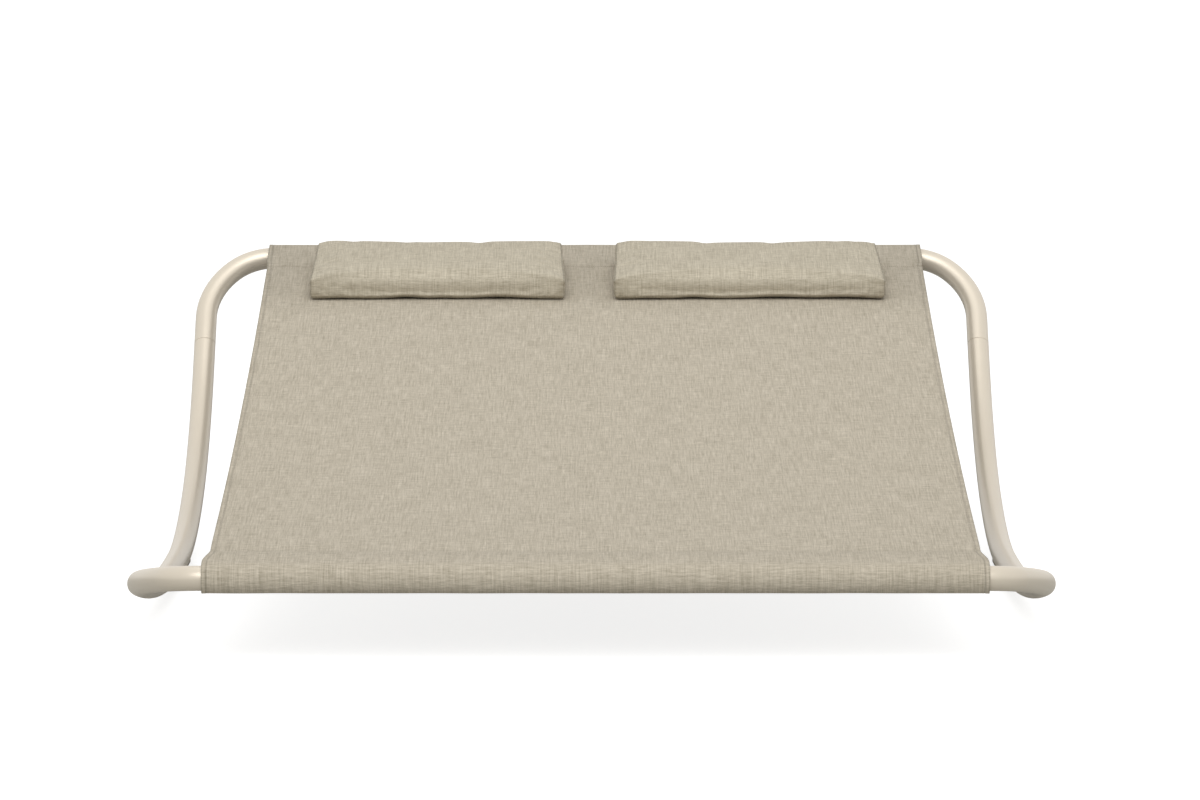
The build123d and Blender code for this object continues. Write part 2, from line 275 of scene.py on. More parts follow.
def linenWeave(name, light, dark):
    # woven linen-look acrylic: uneven threads both ways, with slubs; UVs are in metres of cloth
    material, tree, output = newMaterial(name)
    place = addNode(tree, "ShaderNodeTexCoord")
    warpWidth = 2.6 * mm  # slubby threads and their bundles; finer detail comes from the octaves below this
    warpSlub = 80 * mm
    weftWidth = 3.4 * mm
    weftSlub = 30 * mm
    patchSpan = 71.4 * mm
    weaveDepth = 1.9 * mm
    warpPlace = addNode(tree, "ShaderNodeMapping",
                        {"Vector": place.outputs["UV"], "Scale": (1 / warpWidth, 1 / warpSlub, 1)})
    weftPlace = addNode(tree, "ShaderNodeMapping",
                        {"Vector": place.outputs["UV"], "Scale": (1 / weftSlub, 1 / weftWidth, 1)})
    warp = addNode(tree, "ShaderNodeTexNoise",
                   {"Vector": warpPlace.outputs[0], "Scale": 1.0, "Detail": 2.5, "Roughness": 0.95})
    weft = addNode(tree, "ShaderNodeTexNoise",
                   {"Vector": weftPlace.outputs[0], "Scale": 1.0, "Detail": 3.0, "Roughness": 0.95})
    patch = addNode(tree, "ShaderNodeTexNoise",
                    {"Vector": place.outputs["UV"], "Scale": 1 / patchSpan, "Detail": 3.0})
    crossed = addNode(tree, "ShaderNodeMix", data_type="FLOAT", inputs={
        "Factor": 0.54, "A": warp.outputs["Fac"], "B": weft.outputs["Fac"]})
    shade = addNode(tree, "ShaderNodeMix", data_type="FLOAT", inputs={
        "Factor": 0.06, "A": crossed.outputs["Result"], "B": patch.outputs["Fac"]})
    ramp = addNode(tree, "ShaderNodeMapRange",
                   {"Value": shade.outputs["Result"], "From Min": 0.355, "From Max": 0.645})
    tone = addNode(tree, "ShaderNodeMix",
                   {"Factor": ramp.outputs[0], "A": hexColour(dark), "B": hexColour(light)}, data_type="RGBA")
    # painted shade: the paintedShade attribute darkens the cloth colour down to 0.6 of itself, standing in
    # for the shade at stitches, edges, the head end and the pillows' front face and underside
    seam = addNode(tree, "ShaderNodeAttribute", attribute_name="paintedShade")
    shadeDarkening = addNode(tree, "ShaderNodeMapRange", {"Value": seam.outputs["Fac"], "To Min": 1.0, "To Max": 0.6})
    shaded = addNode(tree, "ShaderNodeVectorMath",
                     {0: tone.outputs["Result"], "Scale": shadeDarkening.outputs[0]}, operation="SCALE")
    bump = addNode(tree, "ShaderNodeBump",
                   {"Height": crossed.outputs["Result"], "Strength": 1.0, "Distance": weaveDepth})
    cloth = addNode(tree, "ShaderNodeBsdfPrincipled",
                    {"Base Color": shaded.outputs[0], "Roughness": 0.9, "Sheen Weight": 0.05,
                     "Sheen Roughness": 0.5, "Specular IOR Level": 0.2, "Normal": bump.outputs[0]})
    tree.links.new(cloth.outputs[0], output.inputs["Surface"])
    return material


def plainGrain(name, light, dark, grain, roughness, metallic=0.0, bumpDepth=0.02 * mm):
    # a moulded or plated surface: slight tone changes and a fine grain, sized in millimetres
    material, tree, output = newMaterial(name)
    place = addNode(tree, "ShaderNodeTexCoord")
    fine = addNode(tree, "ShaderNodeTexNoise",
                   {"Vector": place.outputs["Object"], "Scale": 1 / grain, "Detail": 3.0})
    tone = addNode(tree, "ShaderNodeMix", {"Factor": fine.outputs["Fac"], "A": hexColour(dark),
                                           "B": hexColour(light)}, data_type="RGBA")
    bump = addNode(tree, "ShaderNodeBump",
                   {"Height": fine.outputs["Fac"], "Strength": 0.4, "Distance": bumpDepth})
    surface = addNode(tree, "ShaderNodeBsdfPrincipled",
                      {"Base Color": tone.outputs["Result"], "Metallic": metallic, "Roughness": roughness,
                       "Normal": bump.outputs[0]})
    tree.links.new(surface.outputs[0], output.inputs["Surface"])
    return material


tubeMaterial = powderCoat()
slingMaterial = linenWeave("linenSlingCloth", "DBD1BF", "9D9481")
pillowMaterial = linenWeave("linenPillowCloth", "D9D0BC", "9F9683")
zincMaterial = plainGrain("zincPlatedSteel", "B9BABC", "9C9DA0", 3 * mm, 0.35, metallic=1.0)
screwMaterial = plainGrain("stainlessSteel", "C4C2BE", "A9A7A3", 0.6 * mm, 0.28, metallic=1.0)
glideMaterial = plainGrain("mouldedPolypropylene", "B5AB9B", "A69C8B", 0.8 * mm, 0.55)
tapeMaterial = plainGrain("hookAndLoopTape", "B0A692", "8F866F", 0.9 * mm, 0.95, bumpDepth=0.4 * mm)
fillingMaterial = plainGrain("polyesterFilling", "F2F1EE", "DEDCD6", 5 * mm, 0.95, bumpDepth=2 * mm)
threadMaterial = plainGrain("sewingThread", "D6CDBD", "C2B8A6", 0.5 * mm, 0.8)
zipMaterial = plainGrain("coilZip", "A89E8A", "8D8370", 1.2 * mm, 0.6, bumpDepth=0.5 * mm)

nodeMaterials = {
    "frame_tube": tubeMaterial,
    "bare_steel": zincMaterial,
    "screws": screwMaterial,
    "glides": glideMaterial,
    "sling_cloth": slingMaterial,
    "pillow_cloth": pillowMaterial,
    "hook_tape": tapeMaterial,
    "filling": fillingMaterial,
    "zips": zipMaterial,
}
slotOfNode = {part["node"]: part["material_slot"] for part in frame["record"]["subparts"]}
for nodeName, node in frame["nodes"].items():
    node.data.materials.clear()
    node.data.materials.append(nodeMaterials[slotOfNode[nodeName]])
print("materials on the frame")


# Sling: one strip of cloth that loops round both bars, sewn down under itself

slingSize = {
    "shift": 6 * mm,
    "tubeRadius": 19 * mm,
    "cloth": 1.4 * mm,
    "sag": 30 * mm,
    "pocketRadius": 22 * mm,
    "pocketWall": 1.5 * mm,
    "seatGap": 0.3 * mm,
    "halfWidth": 591 * mm,
    "footStep": 8 * mm,
    "headStep": 2 * mm,
    "footPocket": 87 * mm,
    "headPocket": 125 * mm,
    "footStepRun": (12 * mm, 80 * mm),
    "headStepRun": 34 * mm,
    "headLoft": 1.6 * mm,
    "hem": 9 * mm,
    "hemThickness": 1.1 * mm,
    "hemRoll": 0.5 * mm,
    "hemRollReach": 1.5 * mm,
    "hemCell": 10 * mm,
    "layerGap": 0.3 * mm,
    "wideCell": 12 * mm,
    "wrapCell": 4 * mm,
    "fineCell": 1.3 * mm,
    "stitchLine": 7.4 * mm,
    "stitchPitch": 3.6 * mm,
    "stitchLength": 2.7 * mm,
    "stitchInset": 3 * mm,
    "stitchSlant": 0.03,
    "thread": 0.7 * mm,
    "threadOut": 0.12 * mm,
    "dip": 2.2 * mm,
    "hemZone": 14 * mm,
    "seamZone": 7 * mm,
    "barZone": 12 * mm,
    "footTail": 60 * mm,
    "headTail": 90 * mm,
    "endEase": 50 * mm,
    "headEase": 100 * mm,
    "footTuck": (0.006, 20 * mm, 110 * mm),  # share of the width, and from where to where it fades
    "headTuck": (0.004, 20 * mm, 100 * mm),
}
slingRipples = {
    "loop": (0.3 * mm, (14, 30, 5.0)),  # height, then waves per metre across and along, and a seed
    "wave": (0.5 * mm, (5, 2.2, 1.0)),
    "pull": (0.3 * mm, (26, 3, 9.0)),
    "pullReach": 90 * mm,
    "footDip": (4 * mm, 24 * mm),
    "headDip": (-6 * mm, 16 * mm),
    "headDipShare": 0.35,
    "hemFold": 0.45 * mm,
    "hemFall": (1 * mm, 2.5 * mm),
    "pucker": 0.22 * mm,
    "puckerPitch": 13 * mm,
    "puckerDrift": (2.5, (1, 20, 2.0)),
    "puckerBand": (5 * mm, 6 * mm),
    "hemGroove": (0.5 * mm, 1.3 * mm),
    "pocketGroove": (0.7 * mm, 1.5 * mm),
    "gatherPitch": 21 * mm,
    "gatherShare": 0.35,
    "gatherDrift": (2, (9, 0, 7.0)),
    "pocketFold": 0.35 * mm,
    "pocketFall": (1 * mm, 2 * mm),
}
# painted shade on the sling, drawn into the cloth's colour: how dark at the hem stitches, the side edges, the
# pocket stitches, a band by the foot seam and the head end
slingShadeDepths = {
    "hemStitch": (0.7, 1.5 * mm),  # how dark, then how wide
    "sideEdge": (0.6, 1.8 * mm),
    "footStitch": (0.5, 2 * mm),
    "headStitch": (0.55, 2 * mm),
    "footBand": (0.12, 22 * mm),
    "footBandPlace": -18 * mm,
    "headEnd": 0.36,
    "headEndRun": (450 * mm, 220 * mm),
}


def barCentre(node, side):
    # centre line of the bar at the outer end of a bow, as (Y, Z)
    low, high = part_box(node)
    r = slingSize["tubeRadius"]
    return Vector((low.y + r if side < 0 else high.y - r, high.z - r))


footBar = barCentre("foot_bow", -1)
headBar = barCentre("head_bow", 1)
chord = (headBar - footBar).length
chordWay = (headBar - footBar).normalized()
chordUp = Vector((-chordWay.y, chordWay.x))
pocketOffset = slingSize["pocketRadius"] - slingSize["tubeRadius"] - slingSize["seatGap"]
panelLength = chord - 2 * pocketOffset
panelRadius = (panelLength ** 2 / 4 + slingSize["sag"] ** 2) / (2 * slingSize["sag"])
pocketOuter = slingSize["pocketRadius"] + slingSize["pocketWall"]
footSeam = slingSize["footPocket"]
headSeam = chord - slingSize["headPocket"]


def panelDrop(u):
    # how far the sagging panel hangs below the straight line
    return sqrt(panelRadius ** 2 - (u - chord / 2) ** 2) - (panelRadius - slingSize["sag"])


def inRow(x, u, v):
    # a place across, along the chord and square to it, in the lounger's own frame
    spot = footBar + chordWay * u + chordUp * v
    return Vector((slingSize["shift"] + x, spot.x, spot.y))


def loopPoints(centre, seam, side):
    # from the seam under the panel to the bar, round it and up to the panel's start
    radius = pocketOuter - slingSize["cloth"] / 2
    low = pocketOuter - panelDrop(seam) - 2 * slingSize["cloth"]
    run = seam - centre
    aim = atan2(low, run)
    spread = acos(radius / hypot(run, low))
    leave = aim - spread if side < 0 else aim + spread
    turn = pi / 2 - leave + 2 * pi * side
    points = [(seam, low)]
    steps = 60
    for step in range(steps + 1):
        angle = leave + turn * step / steps
        points.append((centre + radius * cos(angle), radius * sin(angle)))
    return points


def slingRoute():
    # the strip's middle line from one seam to the other, in the chord's own frame
    foot = loopPoints(pocketOffset, footSeam, -1)
    head = loopPoints(chord - pocketOffset, headSeam, 1)
    steps = 400
    panel = []
    for step in range(1, steps):
        u = pocketOffset + panelLength * step / steps
        panel.append((u, pocketOuter - slingSize["cloth"] / 2 - panelDrop(u)))
    lengths = [0.0]
    points = foot + panel + head[::-1]
    for first, second in zip(points, points[1:]):
        lengths.append(lengths[-1] + hypot(second[0] - first[0], second[1] - first[1]))
    return points, lengths, lengths[len(foot) - 1], lengths[len(foot) + len(panel)]


route, routeLengths, panelFrom, panelTo = slingRoute()
slingLength = routeLengths[-1]
headTop = panelTo - (slingSize["headPocket"] - pocketOffset)
print("sling cut", round(slingLength, 4), "m long")


def onRoute(distance):
    # place and outward normal at a distance along the strip
    index = min(max(bisect_left(routeLengths, distance), 1), len(route) - 1)
    start, end = route[index - 1], route[index]
    span = routeLengths[index] - routeLengths[index - 1]
    share = (distance - routeLengths[index - 1]) / span
    spot = (start[0] + (end[0] - start[0]) * share, start[1] + (end[1] - start[1]) * share)
    way = ((end[0] - start[0]) / span, (end[1] - start[1]) / span)
    return spot, (-way[1], way[0])


def halfWidthAt(u):
    # the panel is a little narrower than the loops, and steps out to them past each seam
    along = (u - footSeam) / (headSeam - footSeam)
    step = slingSize["footStep"] + (slingSize["headStep"] - slingSize["footStep"]) * min(max(along, 0), 1)
    footEase = smoothStep(*slingSize["footStepRun"], u)
    headEase = 1 - smoothStep(headSeam, headSeam + slingSize["headStepRun"], u)
    return slingSize["halfWidth"] - step * min(footEase, headEase)


def slingRelief(x, u, onPanel):
    # how far the cloth stands out of its plain form: dips at the seams and soft unevenness
    ripples = slingRipples
    if not onPanel:
        return ripples["loop"][0] * uneven(x, u, ripples["loop"][1])
    footDip = bell(u - footSeam - ripples["footDip"][0], ripples["footDip"][1])
    headDip = ripples["headDipShare"] * bell(u - headSeam - ripples["headDip"][0], ripples["headDip"][1])
    pull = bell(u - footSeam, ripples["pullReach"]) + bell(u - headSeam, ripples["pullReach"])
    wave = ripples["wave"][0] * uneven(x, u, ripples["wave"][1])
    wave += ripples["pull"][0] * pull * uneven(x, u, ripples["pull"][1])
    return wave - slingSize["dip"] * (footDip + headDip)


def stitchRelief(x, u, onPanel):
    # the sewn lines: a hem along each side and a row across at each pocket
    ripples = slingRipples
    edge = halfWidthAt(u) - abs(x)
    before, after = ripples["hemFall"]
    fold = ripples["hemFold"] * (1 - smoothStep(slingSize["hem"] - before, slingSize["hem"] + after, edge))
    drift, spread = ripples["puckerDrift"]
    drawn = sin(u * 2 * pi / ripples["puckerPitch"] + drift * uneven(x, u, spread))
    place, width = ripples["puckerBand"]
    pucker = ripples["pucker"] * drawn * bell(edge - place, width)
    depth, width = ripples["hemGroove"]
    groove = depth * bell(edge - slingSize["stitchLine"], width)
    if onPanel:
        depth, width = ripples["pocketGroove"]
        drift, spread = ripples["gatherDrift"]
        gathered = sin(x * 2 * pi / ripples["gatherPitch"] + drift * uneven(x, 0, spread))
        ripple = 1 + ripples["gatherShare"] * gathered
        groove += depth * ripple * (bell(u - footSeam, width) + bell(u - headSeam, width))
        before, after = ripples["pocketFall"]
        fold += ripples["pocketFold"] * (1 - smoothStep(footSeam - before, footSeam + after, u))
        fold += ripples["pocketFold"] * smoothStep(headSeam - after, headSeam + before, u)
    return fold + pucker - groove


def paintedSlingShade(x, u, onPanel):
    # painted shade: how much darker the cloth's colour is drawn at the stitched lines, the side edges, a band
    # by the foot seam and the head end, standing in for the shade there
    def tone(name, distance):
        dark, width = slingShadeDepths[name]
        return dark * bell(distance, width)

    edge = halfWidthAt(u) - abs(x)
    shadeSum = tone("hemStitch", edge - slingSize["stitchLine"]) + tone("sideEdge", edge)
    if onPanel:
        shadeSum += tone("footStitch", u - footSeam) + tone("headStitch", u - headSeam)
        shadeSum += tone("footBand", u - footSeam - slingShadeDepths["footBandPlace"])
    start, full = slingShadeDepths["headEndRun"]
    return shadeSum + slingShadeDepths["headEnd"] * smoothStep(chord - start, chord - full, u)


def stations(stops):
    # places from the first stop to the last, with the cell size wanted between each two
    places = [stops[0][0]]
    for (start, cell), (end, _) in zip(stops, stops[1:]):
        count = max(1, round((end - start) / cell))
        places += [start + (end - start) * step / count for step in range(1, count + 1)]
    return places


def slingGrid():
    # where the rows of points lie across and along the strip, close together at hems and seams
    half, hemZone = slingSize["halfWidth"], slingSize["hemZone"]
    seamZone, barZone = slingSize["seamZone"], slingSize["barZone"]
    fine, wide, wrap = slingSize["fineCell"], slingSize["wideCell"], slingSize["wrapCell"]
    across = stations([(-1, fine / half), (-1 + hemZone / half, wide / half),
                       (1 - hemZone / half, fine / half), (1, 1)])
    footTop = panelFrom + footSeam - pocketOffset
    headTail = slingLength - slingSize["headTail"]
    along = stations([(0, wide), (slingSize["footTail"], wrap), (panelFrom + barZone, wide),
                      (footTop - seamZone, fine), (footTop + seamZone, wide), (headTop - seamZone, fine),
                      (headTop + seamZone, wide), (panelTo - barZone, wrap), (headTail, wide),
                      (slingLength, 1)])
    return across, along


def tucked(name, distance):
    # how much narrower the strip is drawn where its end is sewn under
    share, start, end = slingSize[name]
    return share * (1 - smoothStep(start, end, distance))


def makeSling():
    acrossPlaces, alongPlaces = slingGrid()
    across, along = len(acrossPlaces) - 1, len(alongPlaces) - 1
    ease, headEase = slingSize["endEase"], slingSize["headEase"]
    piece = gridPiece("slingCloth", across, along)
    cloth = [(0.0, 0.0)] * len(piece.data.vertices)
    shadePerPoint = [0.0] * len(piece.data.vertices)
    for vertex in piece.data.vertices:
        side = acrossPlaces[round((vertex.co.x + 0.5) * across)]
        distance = alongPlaces[round((vertex.co.y + 0.5) * along)]
        spot, normal = onRoute(distance)
        onPanel = panelFrom <= distance <= panelTo
        x = side * halfWidthAt(spot[0])
        toEnd = slingLength - distance
        relief = slingRelief(x, spot[0], onPanel) + stitchRelief(x, spot[0], onPanel)
        relief *= smoothStep(0, ease, distance) * smoothStep(0, ease, toEnd)
        loft = slingSize["headLoft"] * smoothStep(headTop, panelTo, distance)
        relief += loft * smoothStep(0, headEase, toEnd)
        x *= 1 - tucked("footTuck", distance) - tucked("headTuck", toEnd)
        vertex.co = inRow(x, spot[0] + normal[0] * relief, spot[1] + normal[1] * relief)
        cloth[vertex.index] = (x, distance)
        shadePerPoint[vertex.index] = paintedSlingShade(x, spot[0], onPanel)
    setClothMap(piece, cloth)
    # painted shade kept per point, darkening the cloth's colour
    shade = piece.data.attributes.new("paintedShade", "FLOAT", "POINT")
    shade.data.foreach_set("value", shadePerPoint)
    thicken(piece, slingSize["cloth"])
    finishPiece(piece, slingMaterial, "root", 50)
    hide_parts("sling")
    return piece


def setClothMap(piece, places):
    # UVs in metres of cloth
    for loop, uv in zip(piece.data.loops, piece.data.uv_layers.active.data):
        uv.uv = places[loop.vertex_index]


def makeHem(side, sideName):
    # the edge folded under and sewn down
    places = stations([(footSeam, slingSize["hemCell"]), (headSeam, 1)])
    piece = gridPiece(f"slingHem{sideName}", 6, len(places) - 1)
    level = pocketOuter - slingSize["cloth"] - slingSize["layerGap"] - slingSize["hemThickness"] / 2
    cloth = [(0.0, 0.0)] * len(piece.data.vertices)
    for vertex in piece.data.vertices:
        u = places[round((vertex.co.y + 0.5) * (len(places) - 1))]
        fromEdge = (0.5 - vertex.co.x * side) * slingSize["hem"]
        x = side * (halfWidthAt(u) - fromEdge)
        roll = slingSize["hemRoll"] * bell(fromEdge, slingSize["hemRollReach"])
        vertex.co = inRow(x, u, level - panelDrop(u) + slingRelief(x, u, True) + roll)
        cloth[vertex.index] = (x, u)
    setClothMap(piece, cloth)
    thicken(piece, slingSize["hemThickness"])
    finishPiece(piece, slingMaterial, "root", 50)
    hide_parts(f"sling_hem_{sideName.lower()}")
    return piece


def makeStitches(name, count, line):
    # a sewn row: short thread beads laid along the line, each a place and the two ways there
    piece = beadRow(name, count, (0, 1, 0))
    for vertex in piece.data.vertices:
        bead = round(vertex.co.y / beadStep)
        x, y, z = vertex.co.x, vertex.co.y - beadStep * bead, vertex.co.z
        spot, run, up = line(bead)
        aside = run.cross(up)
        vertex.co = (spot + run * y * slingSize["stitchLength"] + aside * x * slingSize["thread"]
                     + up * z * slingSize["thread"])
    finishPiece(piece, threadMaterial, "root")
    return piece


def hemLine(side):
    def line(bead):
        u = footSeam + (bead + 0.5) * slingSize["stitchPitch"]
        return onCloth(side * (halfWidthAt(u) - slingSize["stitchLine"]), u, slingSize["stitchSlant"])
    return line


def pocketLine(u):
    def line(bead):
        x = (bead + 0.5) * slingSize["stitchPitch"] - (halfWidthAt(u) - slingSize["stitchInset"])
        return onCloth(x, u, -slingSize["stitchSlant"], crossways=True)
    return line


def onCloth(x, u, turn, crossways=False):
    # a spot on the panel's upper face, the row's way there and the way out of the cloth
    def face(place):
        level = pocketOuter - panelDrop(place)
        return level + slingRelief(x, place, True) + stitchRelief(x, place, True) + slingSize["threadOut"]

    spot = inRow(x, u, face(u))
    ahead = (inRow(x, u + 1 * mm, face(u + 1 * mm)) - spot).normalized()
    across = Vector((1, 0, 0))
    up = across.cross(ahead).normalized()
    run = across if crossways else ahead
    return spot, (run + run.cross(up) * turn).normalized(), up


sling = makeSling()
hems = [makeHem(side, sideName) for side, sideName in ((-1, "Left"), (1, "Right"))]
hemBeads = int((headSeam - footSeam) / slingSize["stitchPitch"])
for side, sideName in ((-1, "Left"), (1, "Right")):
    makeStitches(f"hemStitches{sideName}", hemBeads, hemLine(side))
for u, end in ((footSeam, "Foot"), (headSeam, "Head")):
    pocketBeads = int(2 * (halfWidthAt(u) - slingSize["stitchInset"]) / slingSize["stitchPitch"])
    makeStitches(f"pocketStitches{end}", pocketBeads, pocketLine(u))
print("sling stretched")


# Pillows: boxed pads, crowned by simulation, sewn up the corners and along the two ends

pillowSize = {
    "depth": 234 * mm,
    "forward": 4 * mm,
    "fullness": 3 * mm,
    "height": 47.5 * mm,
    "rearSet": 103 * mm,
    "lift": 1.2 * mm,
    "wall": 37 * mm,
    "base": 8 * mm,
    "baseRun": 11 * mm,
    "shoulder": 13 * mm,
    "shoulderFrom": 21 * mm,
    "shoulderTurn": 0.9,
    # painted shade: the front face and the underside of each pillow are drawn darker, standing in for the
    # shade they lie in
    "frontShade": 0.32,
    "underShade": (0.95, 3 * mm, 9.5 * mm),  # how dark, and from where to where it fades upwards
    "sideDraw": 1 * mm,
    "frontDraw": 2.5 * mm,
    "cuts": (83, 47, 12),
    "swellCap": 4 * mm,
    "pressure": 4.0,
    "stretch": 0.012,
    "swellFrames": 20,
    "swellQuality": 4,
    "grooveWidth": 2.0 * mm,
    "grooveDepth": 1.7 * mm,
    "gather": 0.5 * mm,
    "gatherSpan": 17,  # steps of 1 mm along the seam from one gather to the next
    "gatherBand": (4 * mm, 6 * mm),
    "softness": 1.1 * mm,
    "folds": 1.0 * mm,
    "foldReach": 22 * mm,
    "creaseReach": 70 * mm,
    "liftReach": 35 * mm,
    "creaseWidth": 13 * mm,
    "left": {
        "x": -278 * mm,
        "width": 450 * mm,
        "seed": 3.0,
        "rearIn": (5 * mm, 7 * mm),
        "lifts": ((-0.055, 0.03, 3.2 * mm), (0.01, 0.02, 1.6 * mm), (0.11, 0.05, 3.4 * mm),
                  (-0.17, 0.03, 1.2 * mm)),
        "creases": ((0.072, 2.4 * mm), (-0.06, 1.2 * mm), (-0.155, 1.4 * mm)),
    },
    "right": {
        "x": 273 * mm,
        "width": 479 * mm,
        "seed": 11.0,
        "rearIn": (4.5 * mm, 7.5 * mm),
        "lifts": ((-0.1, 0.028, 3.0 * mm), (0.05, 0.06, 3.6 * mm), (0.17, 0.05, 3.4 * mm),
                  (-0.18, 0.03, 1.0 * mm)),
        "creases": ((-0.075, 2.6 * mm), (0.045, 2.2 * mm), (0.16, 1.0 * mm)),
    },
}

pillowPlace = (chord - pillowSize["rearSet"] - pillowSize["depth"] / 2 - pillowSize["forward"]
               + pillowSize["fullness"])
pillowLean = asin((pillowPlace - chord / 2) / panelRadius)


def pillowFrame(x):
    # axes across, along the panel and square to it, at the pillow's middle
    lean = atan2(chordWay.y, chordWay.x) + pillowLean
    origin = inRow(x, pillowPlace, pocketOuter - panelDrop(pillowPlace))
    return Matrix((
        (1, 0, 0, origin.x),
        (0, cos(lean), -sin(lean), origin.y),
        (0, sin(lean), cos(lean), origin.z),
        (0, 0, 0, 1),
    ))


def boxPiece(name, cuts):
    # a closed cube cut into rows along each of its three ways
    bpy.ops.object.select_all(action="DESELECT")
    bpy.ops.mesh.primitive_cube_add(size=2, calc_uvs=True)
    piece = bpy.context.object
    piece.name = name
    piece.data.name = name
    for way, count in enumerate(cuts):
        bpy.ops.object.mode_set(mode="EDIT")
        bpy.ops.mesh.select_mode(type="EDGE")
        bpy.ops.mesh.select_all(action="DESELECT")
        bpy.ops.object.mode_set(mode="OBJECT")
        for edge in piece.data.edges:
            start, end = [piece.data.vertices[index].co for index in edge.vertices]
            edge.select = abs((end - start)[way]) > 1
        bpy.ops.object.mode_set(mode="EDIT")
        bpy.ops.mesh.subdivide(number_cuts=count)
    bpy.ops.object.mode_set(mode="OBJECT")
    return piece


def crowded(t):
    # rows drawn closer together towards both ends
    return 0.55 * t + 0.45 * (1 - (1 - abs(t)) ** 1.8) * (1 if t > 0 else -1)


def pillowPoint(a, b, c, size):
    # the cut shape before it swells, from a place on the cube
    wall = pillowSize["wall"]
    halfWidth = size["width"] / 2
    halfDepth = pillowSize["depth"] / 2
    rear = (b + 1) / 2
    inset = size["rearIn"][0 if a < 0 else 1] * rear ** 1.5
    x = a * (halfWidth - inset - pillowSize["sideDraw"] * (1 - b * b))
    y = b * (halfDepth - pillowSize["frontDraw"] * (1 - a * a))
    ends = (1 - abs(a) ** 10) * smoothStep(0, 1, -b)
    crown = (1 - abs(a) ** 5) ** 0.7 * (1 - abs(b) ** 2.6) ** 0.7
    top = wall + (pillowSize["height"] - wall) * crown
    nearEdge = min(halfWidth * (1 - abs(a)), halfDepth * (1 - abs(b)))
    under = 1 - min(nearEdge / pillowSize["baseRun"], 1)
    base = pillowSize["base"] * (1 - sqrt(1 - under * under))
    z = base + (c + 1) / 2 * (top - base)
    risen = (z - pillowSize["shoulderFrom"]) / (wall - pillowSize["shoulderFrom"])
    rounded = pillowSize["shoulderTurn"] * min(max(risen, 0), 1)
    y += ends * pillowSize["shoulder"] * (1 - sqrt(1 - rounded * rounded))
    return Vector((x, y, z))


def swell(piece, held):
    # the filling's push: cloth under pressure, the held points pinned
    start = [vertex.co.copy() for vertex in piece.data.vertices]
    group = piece.vertex_groups.new(name="held")
    group.add(held, 1.0, "REPLACE")
    cloth = piece.modifiers.new("swell", "CLOTH")
    cloth.settings.quality = pillowSize["swellQuality"]
    cloth.settings.vertex_group_mass = "held"
    cloth.settings.use_pressure = True
    cloth.settings.uniform_pressure_force = pillowSize["pressure"]
    cloth.settings.shrink_min = -pillowSize["stretch"]
    cloth.settings.shrink_max = -pillowSize["stretch"]
    cloth.settings.effector_weights.gravity = 0
    for step in range(1, pillowSize["swellFrames"] + 1):
        scene.frame_set(step)
    applyModifiers(piece)
    scene.frame_set(1)
    piece.vertex_groups.clear()
    for vertex, before in zip(piece.data.vertices, start):
        move = vertex.co - before
        if move.length > pillowSize["swellCap"]:
            vertex.co = before + move.normalized() * pillowSize["swellCap"]


def seamRows(cube):
    # the points of each sewn row, in order: the top edge of both ends and the four corners
    def row(*ends):
        return [index for index, place in enumerate(cube)
                if all(place[way] * end > 0.999 for way, end in ends)]

    rows = []
    for side in (-1, 1):
        rows += [row((0, side), (2, 1)), row((0, side), (1, -1)), row((0, side), (1, 1))]
    for seam in rows:
        spread = [max(abs(cube[index][way] - cube[seam[0]][way]) for index in seam) for way in range(3)]
        longest = spread.index(max(spread))
        seam.sort(key=lambda index: cube[index][longest])
    return rows


def makePillow(sideName):
    lower = sideName.lower()
    size = pillowSize[lower]
    piece = boxPiece(f"pillow{sideName}", pillowSize["cuts"])
    mesh = piece.data
    cube = [Vector([crowded(value) for value in vertex.co]) for vertex in mesh.vertices]
    cloth = {}
    for vertex, place in zip(mesh.vertices, cube):
        vertex.co = pillowPoint(*place, size)
        cloth[vertex.index] = vertex.co.copy()
    for face in mesh.polygons:
        middle = sum((cube[index] for index in face.vertices), Vector()) / len(face.vertices)
        way = max(range(3), key=lambda axis: abs(middle[axis]))
        across, along = ((1, 2), (0, 2), (0, 1))[way]
        for loop in face.loop_indices:
            spot = cloth[mesh.loops[loop].vertex_index]
            mesh.uv_layers.active.data[loop].uv = (spot[across] + way, spot[along] + size["seed"])
    seams = seamRows(cube)
    underside = [index for index, place in enumerate(cube) if place.z < -0.999]
    swell(piece, underside + [index for seam in seams for index in seam])
    smooth = piece.modifiers.new("smooth", "SUBSURF")
    smooth.levels = smooth.render_levels = 1
    applyModifiers(piece)
    sewPillow(piece, seams, size)
    base = pillowFrame(size["x"])
    for vertex in mesh.vertices:
        vertex.co = base @ (vertex.co + Vector((0, 0, pillowSize["lift"])))
    finishPiece(piece, pillowMaterial, f"pillow_{lower}")
    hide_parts(f"pillow_cover_{lower}", f"pillow_core_{lower}")
    makeZip(sideName, piece, base)


zipSize = {
    "length": 300 * mm,
    "rise": 18 * mm,
    "tape": 9 * mm,
    "tapeThickness": 0.6 * mm,
    "tapeOut": 0.7 * mm,
    "tooth": 2.2 * mm,
    "toothPitch": 1.5 * mm,
    "toothHeight": 1.1 * mm,
    "teethLeftOut": 4,
    "teethOut": 1.2 * mm,
    "slider": (9 * mm, 6 * mm, 2.6 * mm),
    "sliderFromEnd": 12 * mm,
    "sliderOut": 2.4 * mm,
    "pull": (18 * mm, 4.5 * mm, 1.1 * mm),
    "pullAside": 9 * mm,
    "pullOut": 1.5 * mm,
    "edge": 0.4 * mm,
    "seenFrom": 250 * mm,
}


